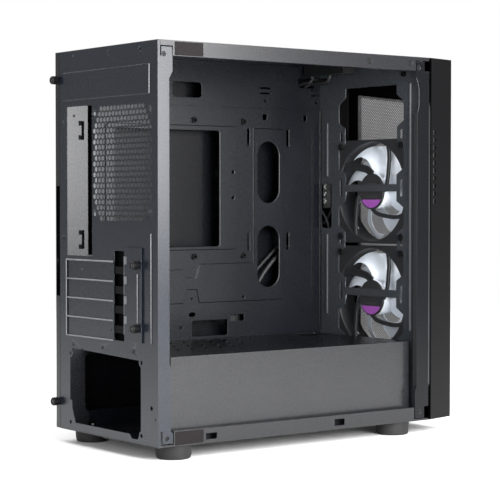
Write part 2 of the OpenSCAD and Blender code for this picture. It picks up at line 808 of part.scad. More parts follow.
module usb_port(x) {
    color("#b9bcc0") difference() {
        translate([x - 6.55, io_c[1] - 2.95, case_h - io_depth + 1.5]) cube([13.1, 5.9, io_depth - 1.7]);
        translate([x - 6, io_c[1] - 2.5, case_h - io_depth + 3]) cube([12, 5, io_depth]);
    }
    color("#1d4fa0") translate([x - 5.5, io_c[1] + 0.3, case_h - io_depth + 2.9]) cube([11, 1.6, io_depth - 5]);
}

module audio_jack() {
    color("#2a2a2c") difference() {
        union() {
            translate([jack_x, io_c[1], case_h - io_depth + 1.5]) cylinder(r = 3.5, h = io_depth - 1.6);
            translate([jack_x - 3.6, io_c[1] - 3.6, case_h - io_depth + 1.5]) cube([7.2, 7.2, 6]);
        }
        translate([jack_x, io_c[1], case_h - io_depth + 3]) cylinder(r = 1.8, h = io_depth);
    }
}

module button(x, r) {
    travel = 1.4;
    color("#26272a") {
        translate([x, button_y, case_h - 4.6]) cylinder(r = r, h = 4.6 + 0.9);
        translate([x, button_y, case_h - io_depth + 1.6 + travel + 0.3]) cylinder(r = r * 0.5, h = io_depth - 7.5);
    }
}

// ---- Fans ----

module fan_frame(z) {
    lug = fan_w / 2;
    cup = 3;
    color("#18191b") translate([fan_x, fan_back_y, z]) rotate([90, 0, 0]) {
        difference() {
            union() {
                linear_extrude(3.6) round_area([-lug, -lug], [lug, lug], 5);
                translate([0, 0, fan_t - 3.6]) linear_extrude(3.6) round_area([-lug, -lug], [lug, lug], 5);
                cylinder(r = bore_r + 1.6, h = fan_t, $fn = 72);
            }
            translate([0, 0, -1]) cylinder(r = bore_r, h = fan_t + 2, $fn = 72);
            for (i = [-1, 1], j = [-1, 1]) {
                translate([i * fan_pitch / 2, j * fan_pitch / 2, -1]) cylinder(r = 2.15, h = fan_t + 2);
            }
        }
        // Motor cup and the four struts that carry it
        difference() {
            translate([0, 0, label_t + 0.1]) cylinder(r = hub_r, h = cup - label_t - 0.1);
            translate([0, 0, cup - 1.4]) cylinder(r = hub_r - 1.4, h = cup);
        }
        for (a = [52, 128, 232, 308]) {
            rotate(a) translate([hub_r - 1, -2, 0.4]) cube([bore_r - hub_r + 1.6, 4, 2.6]);
        }
        difference() {
            translate([0, 0, 1]) cylinder(r = 6.4, h = 15);
            translate([0, 0, 2]) cylinder(r = 4.02, h = 20);
        }
    }
}

module fan_bearing(z) {
    color("#b08d57") translate([fan_x, fan_back_y - 3, z]) rotate([90, 0, 0]) difference() {
        cylinder(r = 4, h = 12);
        translate([0, 0, -1]) cylinder(r = shaft_r + shaft_gap, h = 14);
    }
}

module fan_shaft(z) {
    color("#c9ccd0") cyl_y(fan_x, fan_back_y - 3.2, z, shaft_r, fan_t - 6.2);
}

// Round sticker on the motor cup's outer face
module fan_label(z) {
    color("#1a1a1c") cyl_y(fan_x, fan_back_y - 0.1, z, hub_r - 1.2, label_t);
}

module fan_rotor(z) {
    hub_start = 3.5;
    hub_end = fan_t - 2;
    color("#c6ccd4") translate([fan_x, fan_back_y, z]) rotate([90, 0, 0]) {
        difference() {
            translate([0, 0, hub_start]) cylinder(r = hub_r - 0.4, h = hub_end - hub_start);
            translate([0, 0, hub_start - 1]) cylinder(r = hub_r - 0.4 - hub_wall, h = hub_end - hub_start - 0.6);
            translate([0, 0, hub_start]) cylinder(r = shaft_r, h = fan_t);
        }
        for (i = [0:blades - 1]) rotate(i * 360 / blades) intersection() {
            translate([0, 0, 4.5]) difference() {
                cylinder(r = blade_tip_r, h = 17.5, $fn = 72);
                translate([0, 0, -1]) cylinder(r = hub_r - 0.9, h = 20);
            }
            translate([hub_r - 3, 0, 13]) rotate([38, 0, 0]) translate([0, -16, -0.8]) cube([40, 32, 1.6]);
        }
    }
}

module fan_screws() {
    color("#2a2a2d") for (z = [fan_upper_z, fan_lower_z], i = [-1, 1], j = [-1, 1]) {
        x = fan_x + i * fan_pitch / 2;
        zz = z + j * fan_pitch / 2;
        difference() {
            union() {
                cyl_y(x, plate_y + 2.2, zz, 3.8, 2.2, small_fn);
                cyl_y(x, plate_y + eps, zz, 2, 10, small_fn);
            }
            cyl_y(x, plate_y + 3, zz, 1.4, 1.9, 6);
        }
    }
}

// ---- Cables in the space behind the tray ----

usb_path = [
    [44, -340, 394], [44, -340, 391], [48, -340, 387.5], [58, -340, 386.8], [70, -340, 386.8],
    [80, -340, 386.6], [87, -338, 382], [89, -335, 370], [89, -334, 340], [89, -334, 300], [89, -334, 262],
    [89, -333, 230], [88, -327, 206], [88, -312, 190], [88, -295, 180], [88, -280, 166], [88, -268, 150],
    [88, -262, 132], [88, -260, 118]
];
switch_path = [
    [66, -332, 393.8], [66, -332, 391], [69, -330, 387.5], [78, -329, 386.8], [87, -328, 384], [92, -328, 374],
    [92, -328, 350], [92, -328, 320], [92, -327, 280], [92, -326, 240], [92, -319, 212], [92, -303, 194],
    [92, -287, 182], [92, -272, 168], [92, -254, 152], [92, -240, 136], [92, -236, 118]
];
fan_upper_path = [
    [47.6, -369, 263], [54, -369, 262], [61, -369, 256], [67, -368, 246], [73, -366, 233], [80, -364, 222],
    [86, -361, 218], [87, -355, 217], [87, -349, 215], [86, -343, 206], [85, -341, 190], [85, -341, 160],
    [85, -341, 132]
];
fan_lower_path = [
    [47.6, -369, 140], [54, -369, 143], [60, -367, 154], [63, -364, 172], [64, -361, 192], [66, -359, 210],
    [71, -358.5, 224], [79, -358.5, 233], [87, -359, 238], [91, -356, 239], [92, -350, 236], [92, -344, 224],
    [92, -341, 200], [92, -341, 160], [92, -341, 132]
];

function unit(v) = v / norm(v);
function lerp_at(p, i, u) = let (
    a = p[max(i - 1, 0)], b = p[i], c = p[min(i + 1, len(p) - 1)], d = p[min(i + 2, len(p) - 1)]
) 0.5 * ((2 * b) + (c - a) * u + (2 * a - 5 * b + 4 * c - d) * u * u + (3 * b - a - 3 * c + d) * u * u * u);
function smooth(p, n) = concat(
    [for (i = [0:len(p) - 2], k = [0:n - 1]) lerp_at(p, i, k / n)],
    [p[len(p) - 1]]
);

// Tube swept along a route, its rings kept upright to a fixed reference direction
module tube(p, r, sides, ref) {
    n = len(p);
    rings = [for (i = [0:n - 1]) let (
        t = unit(p[min(i + 1, n - 1)] - p[max(i - 1, 0)]),
        u = unit(cross(t, ref)),
        v = cross(t, u)
    ) each [for (k = [0:sides - 1]) p[i] + r * (cos(360 * k / sides) * u + sin(360 * k / sides) * v)]];
    walls = [for (i = [0:n - 2], k = [0:sides - 1]) let (
        a = i * sides + k, b = i * sides + (k + 1) % sides
    ) [a, b, b + sides, a + sides]];
    caps = [[for (k = [sides - 1:-1:0]) k], [for (k = [0:sides - 1]) (n - 1) * sides + k]];
    polyhedron(points = rings, faces = concat(walls, caps), convexity = 6);
}

module usb_cable() color("#1c1d20") tube(usb_path, 2.6, 8, [0.9, 0.3, 0.1]);
module switch_cable() color("#26272a") tube(switch_path, 2, 8, [0.9, 0.3, 0.1]);
module fan_upper_cable() color("#222326") tube(fan_upper_path, 1.6, 8, [1, 0.5, 1]);
module fan_lower_cable() color("#222326") tube(fan_lower_path, 1.6, 8, [-1, 0.5, 1]);

module usb_plug() {
    end = usb_path[len(usb_path) - 1];
    color("#2a3d78") translate([end[0] - 4, end[1] - 9.5, end[2] - 15.5]) cube([8, 19, 15]);
}

module switch_plugs() {
    end = switch_path[len(switch_path) - 1];
    color("#161618") for (i = [0:2]) {
        translate([end[0] - 1.4, end[1] - 8 + i * 5.6, end[2] - 13.5]) cube([2.7, 5.2, 13]);
    }
}

module fan_plugs() {
    color("#161618") for (path = [fan_upper_path, fan_lower_path]) {
        end = path[len(path) - 1];
        translate([end[0] - 2.5, end[1] - 4, end[2] - 12.2]) cube([5, 8, 12]);
    }
}

module cable_ties() {
    color("#0f0f10") for (z = [310, 336]) difference() {
        translate([81, -340, z]) cube([14.6, 16.4, 3]);
        translate([82, -339, z - 1]) cube([12.6, 14.4, 5]);
    }
}

// ---- Right side panel ----

module right_side_panel() {
    color("#2d2f33") {
        sheet_x(inner_x) area([0, 0.2], [-case_l + 0.4, case_h]);
        // Rear flange with the finger grip and the screw holes
        difference() {
            sheet_y(0) difference() {
                area([rear_edge_x + 0.4, 0.2], [side_x - sheet + eps, case_h]);
                polygon([
                    [rear_edge_x, grip_z[0]], [side_x - sheet - 1, grip_z[0]], [side_x - sheet + 1, grip_z[0] + 6],
                    [side_x - sheet + 1, grip_z[1] - 6], [side_x - sheet - 1, grip_z[1]], [rear_edge_x, grip_z[1]]
                ]);
            }
            for (z = thumb_z) cyl_y(thumb_x, 1, z, 1.75, 4);
        }
        // Stiffening strips folded round the long edges
        for (z = [16, case_h - 22]) translate([inner_x - 0.35, -case_l + 14, z]) cube([0.35 + eps, case_l - 40, 6]);
    }
}

// ---- Front panel ----

// Plan of the shell; the inner outline runs out past the seam
module front_plan(inset, seam) {
    polygon([
        [-side_x + inset, seam], [-side_x + front_lean + inset, y_front + inset],
        [side_x - front_lean - inset, y_front + inset], [side_x - inset, seam]
    ]);
}

module mesh_outline(grow) {
    polygon([
        [-mesh_half - grow, mesh_z[0] - grow], [mesh_half + grow, mesh_z[0] - grow],
        [mesh_half + grow, mesh_z[1] + grow], [-mesh_half - grow, mesh_low_z + grow]
    ]);
}

module front_panel() {
    lid = 3;
    seam = -case_l - 0.6;
    clip_y = plate_y + 3;
    color("#1e1e1f") {
        difference() {
            linear_extrude(case_h) front_plan(0, seam);
            translate([0, 0, lid]) linear_extrude(case_h - 2 * lid) front_plan(front_wall, seam + 2);
            sheet_y(y_front + 5, 8) mesh_outline(0);
            // Side air slots beside the seam
            for (s = [-1, 1], i = [0:9]) {
                translate([s * (side_x - 2) - 5, seam - 9, 244 + i * 8.6]) cube([10, 5, 5]);
            }
        }
        // Clips that snap into the front plate
        for (x = [-70, 70], z = [20, 390]) cyl_y(x, clip_y, z, 2.6, clip_y - y_front - 1, small_fn);
    }
}

module front_mesh() {
    color("#8c8e90") sheet_y(y_front + front_wall + 1.2, 1) mesh_outline(3);
}

// ---- Filters ----

module top_filter() {
    c = [-8, -159];
    half = [64, 132];
    color("#161718") sheet_z(case_h + 0.05, filter_t) difference() {
        round_area([c[0] - half[0], c[1] - half[1]], [c[0] + half[0], c[1] + half[1]], 6);
        for (j = [-1, 1]) {
            round_area([c[0] - half[0] + 8, c[1] + j * 66 - 58], [c[0] + half[0] - 8, c[1] + j * 66 + 58], 4);
        }
    }
    color("#2b2c2e") sheet_z(case_h + 0.05, 0.4) round_area(
        [c[0] - half[0] + 4, c[1] - half[1] + 4], [c[0] + half[0] - 4, c[1] + half[1] - 4], 4);
}

module psu_filter() {
    color("#1b1c1e") {
        sheet_z(-2.2, 1.9) difference() {
            round_area([-filter_half, filter_y[0]], [filter_half, filter_y[1]], 4);
            round_area([-filter_half + 6, filter_y[0] + 6], [filter_half - 6, filter_y[1] - 12], 3);
        }
        sheet_z(-1.2, 0.4) area([-filter_half + 5, filter_y[0] + 5], [filter_half - 5, filter_y[1] - 11]);
        // Grip lip
        translate([-18, filter_y[1] - eps, -3.4]) cube([36, 3, 3.1]);
    }
}

place() rear_panel();
place() top_panel();
place() bottom_panel();
place() front_plate();
place() motherboard_tray();
place() psu_shroud();
place() slot_cover(3);  // slot_cover_1
place() slot_cover(2);  // slot_cover_2
place() slot_cover(1);  // slot_cover_3
place() slot_cover(0);  // slot_cover_4
place() drive_cage();
place() drive_tray(57);  // drive_tray_upper
place() drive_tray(21);  // drive_tray_lower
place() foot(-foot_xy[0], foot_xy[1][1]);  // foot_front_left
place() foot(foot_xy[0], foot_xy[1][1]);  // foot_front_right
place() foot(-foot_xy[0], foot_xy[1][0]);  // foot_rear_left
place() foot(foot_xy[0], foot_xy[1][0]);  // foot_rear_right
place() foot_screws();
place() chassis_rivets();
place() rail_screws();
place() rail_pads();
place() psu_pads();
place() io_housing();
place() io_board();
place() usb_port(usb_x[0]);  // usb_port_left
place() usb_port(usb_x[1]);  // usb_port_right
place() audio_jack();
place() button(power_x, 6.3);  // power_button
place() button(reset_x, 3);  // reset_button
place() fan_frame(fan_upper_z);  // fan_upper_frame
place() fan_bearing(fan_upper_z);  // fan_upper_bearing
place() fan_label(fan_upper_z);  // fan_upper_label
place() fan_rotor(fan_upper_z);  // fan_upper_rotor
place() fan_shaft(fan_upper_z);  // fan_upper_shaft
place() fan_frame(fan_lower_z);  // fan_lower_frame
place() fan_bearing(fan_lower_z);  // fan_lower_bearing
place() fan_label(fan_lower_z);  // fan_lower_label
place() fan_rotor(fan_lower_z);  // fan_lower_rotor
place() fan_shaft(fan_lower_z);  // fan_lower_shaft
place() fan_screws();
place() usb_cable();
place() usb_plug();
place() switch_cable();
place() switch_plugs();
place() fan_upper_cable();
place() fan_lower_cable();
place() fan_plugs();
place() cable_ties();
place() right_side_panel();
place() thumbscrew(thumb_x, 0, thumb_z[1], 6);  // side_screw_upper
place() thumbscrew(thumb_x, 0, thumb_z[0], 6);  // side_screw_lower
place() slot_lock();
place() thumbscrew(lock_screw_x, lock_y + sheet, lock_screw_z[1], 8);  // lock_screw_upper
place() thumbscrew(lock_screw_x, lock_y + sheet, lock_screw_z[0], 8);  // lock_screw_lower
place() front_panel();
place() front_mesh();
place() top_filter();
place() psu_filter();
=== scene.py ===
"""Looks of the desktop computer tower: an open steel case with its fans, cables and fixings."""
import json
import math

import bmesh
import bpy
from mathutils import Matrix, Vector

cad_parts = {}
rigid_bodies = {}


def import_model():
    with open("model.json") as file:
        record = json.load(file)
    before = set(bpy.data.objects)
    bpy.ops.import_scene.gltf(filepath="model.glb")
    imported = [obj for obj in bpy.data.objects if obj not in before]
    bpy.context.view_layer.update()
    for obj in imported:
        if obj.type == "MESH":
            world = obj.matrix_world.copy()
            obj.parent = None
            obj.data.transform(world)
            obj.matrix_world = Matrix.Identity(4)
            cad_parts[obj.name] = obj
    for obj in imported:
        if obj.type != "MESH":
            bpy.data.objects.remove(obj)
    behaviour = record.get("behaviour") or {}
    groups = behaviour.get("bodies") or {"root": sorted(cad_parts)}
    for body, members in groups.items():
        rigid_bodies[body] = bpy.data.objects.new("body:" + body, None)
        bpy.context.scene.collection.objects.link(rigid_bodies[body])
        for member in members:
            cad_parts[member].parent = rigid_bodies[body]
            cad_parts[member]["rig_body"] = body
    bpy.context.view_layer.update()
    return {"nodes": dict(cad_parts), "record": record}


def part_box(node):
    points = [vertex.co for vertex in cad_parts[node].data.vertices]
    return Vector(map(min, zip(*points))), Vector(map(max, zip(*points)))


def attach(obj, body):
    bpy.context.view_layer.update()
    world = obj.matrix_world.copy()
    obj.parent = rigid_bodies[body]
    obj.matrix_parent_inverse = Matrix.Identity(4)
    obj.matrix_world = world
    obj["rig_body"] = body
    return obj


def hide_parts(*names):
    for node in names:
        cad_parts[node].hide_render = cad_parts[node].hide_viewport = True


for stray in list(bpy.data.objects):
    bpy.data.objects.remove(stray)
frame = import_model()
NODES = frame["nodes"]

# ---- Shared frame: millimetres from the rear face, the centre plane and the bottom sheet ----

MM = 0.001
REAR_Y = 199.45
FOOT_H = 15.0


def at(x, y, z):
    return Vector((x * MM, (y + REAR_Y) * MM, (z + FOOT_H) * MM))


def design(co):
    """The same point back in millimetres."""
    return Vector((co.x / MM, co.y / MM - REAR_Y, co.z / MM - FOOT_H))


# ---- Camera ----

AZIMUTH = math.radians(232.977)
ELEVATION = math.radians(1.703)
ahead = Vector((
    -math.sin(AZIMUTH) * math.cos(ELEVATION),
    math.cos(AZIMUTH) * math.cos(ELEVATION),
    -math.sin(ELEVATION),
))
camera = bpy.data.objects.new("camera", bpy.data.cameras.new("camera"))
bpy.context.scene.collection.objects.link(camera)
camera.location = (-1.4948, 1.13736, 0.26296)
camera.rotation_mode = "QUATERNION"
camera.rotation_quaternion = ahead.to_track_quat("-Z", "Y")
camera.data.lens = 121.7
camera.data.sensor_width = 36
camera.data.clip_start = 0.05
camera.data.clip_end = 60
bpy.context.scene.camera = camera

# ---- Materials ----


def new_material(name):
    m = bpy.data.materials.new(name)
    m.use_nodes = True
    m.node_tree.nodes.clear()
    return m


def link(tree, a, b):
    tree.links.new(a, b)


ROUGH_SPREAD = 0.05


def surface(name, colour, rough=0.5, metal=0.0, specular=0.5, grain=0.0, grain_size=0.6,
            mottle=0.0, mottle_size=40.0):
    """A lit finish: mottled colour, uneven roughness and a fine bumped grain, sizes in millimetres."""
    m = new_material(name)
    t = m.node_tree
    out = t.nodes.new("ShaderNodeOutputMaterial")
    bsdf = t.nodes.new("ShaderNodeBsdfPrincipled")
    link(t, bsdf.outputs[0], out.inputs[0])
    bsdf.inputs["Metallic"].default_value = metal
    bsdf.inputs["Specular IOR Level"].default_value = specular
    coords = t.nodes.new("ShaderNodeTexCoord")
    broad = t.nodes.new("ShaderNodeTexNoise")
    broad.inputs["Scale"].default_value = 1000.0 / mottle_size
    broad.inputs["Detail"].default_value = 3
    link(t, coords.outputs["Object"], broad.inputs["Vector"])
    ramp = t.nodes.new("ShaderNodeValToRGB")
    lo = [max(0.0, c * (1 - mottle)) for c in colour]
    hi = [min(1.0, c * (1 + mottle)) for c in colour]
    ramp.color_ramp.elements[0].position = 0.3
    ramp.color_ramp.elements[0].color = (*lo, 1)
    ramp.color_ramp.elements[1].position = 0.7
    ramp.color_ramp.elements[1].color = (*hi, 1)
    link(t, broad.outputs["Fac"], ramp.inputs[0])
    link(t, ramp.outputs[0], bsdf.inputs["Base Color"])
    fine = t.nodes.new("ShaderNodeTexNoise")
    fine.inputs["Scale"].default_value = 1000.0 / grain_size
    fine.inputs["Detail"].default_value = 2
    link(t, coords.outputs["Object"], fine.inputs["Vector"])
    spread = t.nodes.new("ShaderNodeMapRange")
    spread.inputs["To Min"].default_value = max(0.02, rough - ROUGH_SPREAD)
    spread.inputs["To Max"].default_value = min(1.0, rough + ROUGH_SPREAD)
    link(t, fine.outputs["Fac"], spread.inputs["Value"])
    link(t, spread.outputs[0], bsdf.inputs["Roughness"])
    if grain:
        bump = t.nodes.new("ShaderNodeBump")
        bump.inputs["Strength"].default_value = 1.0
        bump.inputs["Distance"].default_value = grain * MM
        link(t, fine.outputs["Fac"], bump.inputs["Height"])
        link(t, bump.outputs[0], bsdf.inputs["Normal"])
    return m


COAT = dict(rough=0.27, specular=0.5, grain=0.006, grain_size=0.7, mottle=0.06, mottle_size=60)
# The inside copy of the coat is darker and less glossy: painted shade
INNER_SHADE_COAT = dict(COAT, specular=0.36)
# One black powder coat in several copies: the front and shroud copies are lighter as painted light, the
# inside copy darker as painted shade
MATERIALS = {
    "steel_rear": surface("powder_coat_rear", (0.0062, 0.0086, 0.0138), **COAT),
    "steel_outer": surface("powder_coat_outer", (0.0062, 0.0065, 0.008), **COAT),
    "steel_front": surface("powder_coat_front_painted_light", (0.03, 0.0335, 0.0385), **COAT),
    "steel_inner": surface("powder_coat_inner_painted_shade", (0.0036, 0.0044, 0.0062), **INNER_SHADE_COAT),
    "steel_shroud": surface("powder_coat_shroud_painted_light", (0.0105, 0.0108, 0.0122), **COAT),
    "foot_plastic": surface("foot_plastic", (0.0115, 0.011, 0.0115), rough=0.6, specular=0.25,
                            grain=0.02, grain_size=0.5, mottle=0.08),
    "zinc": surface("zinc_plate", (0.5, 0.5, 0.52), rough=0.35, metal=1.0, mottle=0.1, mottle_size=4),
    "black_screw": surface("black_oxide", (0.003, 0.003, 0.0033), rough=0.42, specular=0.25,
                           grain=0.005, grain_size=0.4, mottle=0.1, mottle_size=5),
    "foam": surface("foam", (0.011, 0.0095, 0.0098), rough=0.85, specular=0.08,
                    grain=0.05, grain_size=0.5, mottle=0.15, mottle_size=3),
    "black_plastic": surface("moulded_plastic", (0.006, 0.006, 0.0065), rough=0.55, specular=0.25,
                             grain=0.015, grain_size=0.45, mottle=0.06),
    "front_plastic": surface("front_plastic", (0.0016, 0.0016, 0.0019), rough=0.4, specular=0.12,
                             grain=0.01, grain_size=0.4, mottle=0.05, mottle_size=80),
    "circuit_board": surface("circuit_board", (0.004, 0.018, 0.010), rough=0.4, mottle=0.25, mottle_size=3),
    "port_shell": surface("port_shell", (0.6, 0.6, 0.62), rough=0.25, metal=1.0, mottle=0.05),
    "fan_plastic": surface("fan_plastic", (0.012, 0.0125, 0.014), rough=0.45,
                           grain=0.01, grain_size=0.5, mottle=0.06),
    "bronze": surface("bronze", (0.45, 0.32, 0.17), rough=0.4, metal=1.0, mottle=0.1, mottle_size=2),
    "label": surface("printed_label", (0.018, 0.018, 0.02), rough=0.38, mottle=0.04),
    "fan_blade": surface("fan_blade", (0.66, 0.71, 0.78), rough=0.3,
                         grain=0.003, mottle=0.02, mottle_size=30),
    "shaft_steel": surface("shaft_steel", (0.6, 0.6, 0.62), rough=0.22, metal=1.0, mottle=0.05),
    "cable_sleeve": surface("cable_sleeve", (0.009, 0.009, 0.01), rough=0.55, specular=0.35,
                            grain=0.03, grain_size=0.5, mottle=0.1, mottle_size=2),
    "blue_plug": surface("blue_plug", (0.012, 0.035, 0.18), rough=0.42, grain=0.01, mottle=0.06),
    "black_nylon": surface("black_nylon", (0.011, 0.011, 0.012), rough=0.4, grain=0.01, mottle=0.08),
    "mesh_steel": surface("mesh_steel", (0.19, 0.19, 0.195), rough=0.45, mottle=0.05, mottle_size=15),
    "filter_plastic": surface("filter_plastic", (0.013, 0.0135, 0.015), rough=0.55, grain=0.012, mottle=0.08),
}
# Finishes for single faces of a node and for small details: painted shade, a painted pool of light and
# painted highlights among them, with bare zinc and the filter net
# A darker, duller copy of the coat: painted shade on the front plate's column, in the rear vent holes, inside
# the side panel and on the shroud's top
PAINTED_SHADE_FINISH = dict(COAT, specular=0.22, mottle_size=40)
PAINTED_SHADE_COAT = surface("powder_coat_painted_shade", (0.002, 0.0022, 0.003), **PAINTED_SHADE_FINISH)
# A lighter copy of the coat: a painted pool of light on the tray strip behind the connector cut-out
LIT_STRIP_COAT = surface("powder_coat_painted_light_strip", (0.0125, 0.013, 0.0155), **COAT)
# Bare zinc on the slot covers' ends, and a painted highlight on the rims round the expansion slots
ZINC_AND_HIGHLIGHT = surface("zinc_and_painted_highlight", (0.16, 0.165, 0.175), rough=0.4, metal=0.5, mottle=0.1, mottle_size=6)
# Near black: painted shade in the pocket beside the slots, on the tray's standoffs and stamped edges, on the
# front plate's lip and on the covers' tabs
SHADED = surface("deep_painted_shade", (0.0015, 0.0016, 0.002), rough=0.6, specular=0.1, mottle=0.1, mottle_size=6)
NET = surface("nylon_net", (0.02, 0.02, 0.022), rough=0.6, mottle=0.1, mottle_size=5)
# A lighter metal for the cross in the thumbscrew heads: a painted highlight
CROSS_HIGHLIGHT = surface("recess", (0.12, 0.12, 0.125), rough=0.4, metal=0.6, mottle=0.1, mottle_size=2)
SLOT_OF = {s["node"]: s["material_slot"] for s in frame["record"]["subparts"]}
BODY_OF = {n: o["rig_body"] for n, o in NODES.items()}

for name, o in NODES.items():
    o.data.materials.clear()
    o.data.materials.append(MATERIALS[SLOT_OF[name]])


# ---- Mesh tools ----


def add_piece(name, bm, body, slot, material=None, stands_for=(), smooth=15.0):
    me = bpy.data.meshes.new(name)
    bm.normal_update()
    bm.to_mesh(me)
    bm.free()
    o = bpy.data.objects.new(name, me)
    bpy.context.scene.collection.objects.link(o)
    me.materials.append(material or MATERIALS[slot])
    if smooth:
        me.shade_smooth()
        me.set_sharp_from_angle(angle=math.radians(smooth))
    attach(o, body)
    if stands_for:
        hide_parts(*stands_for)
    return o


FOLD_ANGLE = math.radians(30)


def sharp_edges(bm):
    return [e for e in bm.edges if len(e.link_faces) == 2 and e.calc_face_angle(0) > FOLD_ANGLE]


def soften(bm, width, edges=None):
    """Rounds the given edges, or else every sharp edge, by width millimetres."""
    picked = sharp_edges(bm) if edges is None else edges
    if picked:
        bmesh.ops.bevel(bm, geom=picked, offset=width * MM, offset_type="OFFSET", segments=2,
                        profile=0.5, affect="EDGES", clamp_overlap=False)


def from_node(node, merge=True):
    """A CAD node's own mesh; merge joins its flat stretches into single faces."""
    bm = bmesh.new()
    bm.from_mesh(NODES[node].data)
    bmesh.ops.remove_doubles(bm, verts=bm.verts, dist=2e-6)
    if merge:
        bmesh.ops.dissolve_limit(bm, angle_limit=math.radians(0.4), verts=bm.verts, edges=bm.edges)
    return bm


def repaint(o, material, test):
    """Gives another finish to the faces whose centre and normal pass the test."""
    o.data.materials.append(material)
    index = len(o.data.materials) - 1
    for f in o.data.polygons:
        if test(design(f.center), f.normal):
            f.material_index = index


# Above this area, in square millimetres, a face of a folded part is shaded flat
FLAT_AREA = 6.0


def dressed(node, width=0.2, wide=None, wide_width=0.8, seams=(), merge=True):
    """A CAD node's own shape with its edges rounded.

    wide(a, b) picks the edges that are rounded by wide_width. seams are planes (point, normal) where the
    finish changes.
    """
    bm = from_node(node, merge)
    if wide:
        picked = [e for e in sharp_edges(bm) if wide(design(e.verts[0].co), design(e.verts[1].co))]
        soften(bm, wide_width, picked)
    soften(bm, width)
    for point, normal in seams:
        geom = bm.verts[:] + bm.edges[:] + bm.faces[:]
        bmesh.ops.bisect_plane(bm, geom=geom, plane_co=point, plane_no=normal)
    o = add_piece(node + "_sheet", bm, BODY_OF[node], SLOT_OF[node], stands_for=(node,))
    for f in o.data.polygons:
        f.use_smooth = f.area < FLAT_AREA * MM * MM
    return o


def within(p, x=(-500, 500), y=(-500, 500), z=(-500, 500)):
    return x[0] < p.x < x[1] and y[0] < p.y < y[1] and z[0] < p.z < z[1]


# ---- Folded and moulded parts ----

# Rear panel: a painted highlight on the rims round the expansion slots, painted shade in the pocket beside
# them and on the walls of the vent holes
SLOTS_X = (-17, 79)
SLOTS_Z = (101, 187)
POCKET_X = (-42, -6)
POCKET_Z = (99, 200)
POCKET_Y = -6.5
VENT_X = (-100, 30)
VENT_Z = (225, 348)
SHEET = 0.8
rear = dressed("rear_panel", merge=False)
repaint(rear, ZINC_AND_HIGHLIGHT, lambda c, n: within(c, SLOTS_X, (0.03, 10), SLOTS_Z))
repaint(rear, SHADED, lambda c, n: within(c, POCKET_X, (-20, POCKET_Y), POCKET_Z))
repaint(rear, PAINTED_SHADE_COAT, lambda c, n: within(c, VENT_X, (-SHEET, 0), VENT_Z) and abs(n.y) < 0.5)

# Motherboard tray: a painted pool of light on the strip behind the connector cut-out, painted shade on the
# standoffs and along the stamped edges
STANDOFF = 3.0
CREST = (1.2, 2.0)
STAMPED_Y = (-320, -2)
STAMPED_Z = (120, 340)
STRIP_Y = -29
TRAY_FACE = design(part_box("motherboard_tray")[0]).x + STANDOFF


def on_stamping(a, b):
    """A crest edge of the raised frame or pad on the motherboard tray."""
    return all(within(p, (TRAY_FACE - CREST[1], TRAY_FACE - CREST[0]), STAMPED_Y, STAMPED_Z) for p in (a, b))


# Painted shade on the standoffs and on the slopes and roundings of the stamped edges
def painted_shade_on_tray(c, n):
    return c.x < TRAY_FACE - 1.9 or (n.x > -0.9 and c.x < TRAY_FACE - 0.02)


tray = dressed("motherboard_tray", wide=on_stamping, wide_width=0.7, seams=[(at(0, STRIP_Y, 0), (0, 1, 0))])
repaint(tray, LIT_STRIP_COAT, lambda c, n: c.y > STRIP_Y)
repaint(tray, SHADED, painted_shade_on_tray)

# Front plate: a wider rounding along its ribs, and painted shade on the column and lip at the open side
RIB_X = (-83, -78)
RIB_Y = (-354.2, -353.4)
RIB_LENGTH = 50
COLUMN_X = -90
LIP_X = -95
LIP_Y = -349


def on_rib(a, b):
    """A long edge of a raised rib on the fan plate."""
    return all(within(p, RIB_X, RIB_Y) for p in (a, b)) and abs(a.z - b.z) > RIB_LENGTH


front_plate = dressed("front_plate", wide=on_rib, wide_width=0.9)
repaint(front_plate, PAINTED_SHADE_COAT, lambda c, n: c.x < COLUMN_X and n.x < -0.95)
repaint(front_plate, SHADED, lambda c, n: c.x < LIP_X and c.y > LIP_Y and n.y > 0.3)

# Right side panel with painted shade on its inside, and the shroud with painted shade on its top
side = dressed("right_side_panel")
repaint(side, PAINTED_SHADE_COAT, lambda c, n: n.x < -0.5)
shroud = dressed("psu_shroud")
repaint(shroud, PAINTED_SHADE_COAT, lambda c, n: n.z > 0.9)
for node in ("top_panel", "bottom_panel", "slot_lock", "drive_cage", "drive_tray_upper", "drive_tray_lower",
             "front_panel", "io_housing", "usb_plug", "switch_plugs", "fan_plugs", "cable_ties",
             "power_button", "reset_button", "usb_port_left", "usb_port_right", "audio_jack", "fan_screws",
             "chassis_rivets", "rail_screws", "foot_screws", "psu_pads"):
    dressed(node)

# Slot covers: painted shade where the tab lies in the pocket, and its end shows as bare metal
TAB_START_X = -17.2
TAB_END_X = -30
for node in ("slot_cover_1", "slot_cover_2", "slot_cover_3", "slot_cover_4"):
    cover = dressed(node, seams=[(at(TAB_START_X, 0, 0), (1, 0, 0))])
    repaint(cover, SHADED, lambda c, n: c.x < TAB_START_X)
    repaint(cover, ZINC_AND_HIGHLIGHT, lambda c, n: c.x < TAB_END_X and c.y > 0)

# ---- Turned and swept shapes ----


def circle_points(r, n, turn=0.0):
    return [(r * math.cos(turn + math.tau * k / n), r * math.sin(turn + math.tau * k / n)) for k in range(n)]


def loft(bm, rings, closed=True, cap=True):
    """Skins rings of points (lists of row-frame vectors); cap closes the first and last."""
    rows = [[bm.verts.new(p) for p in ring] for ring in rings]
    n = len(rows[0])
    for lower, upper in zip(rows, rows[1:]):
        for k in range(n if closed else n - 1):
            bm.faces.new((lower[k], lower[(k + 1) % n], upper[(k + 1) % n], upper[k]))
    if cap:
        bm.faces.new(rows[0][::-1])
        bm.faces.new(rows[-1])
    return rows


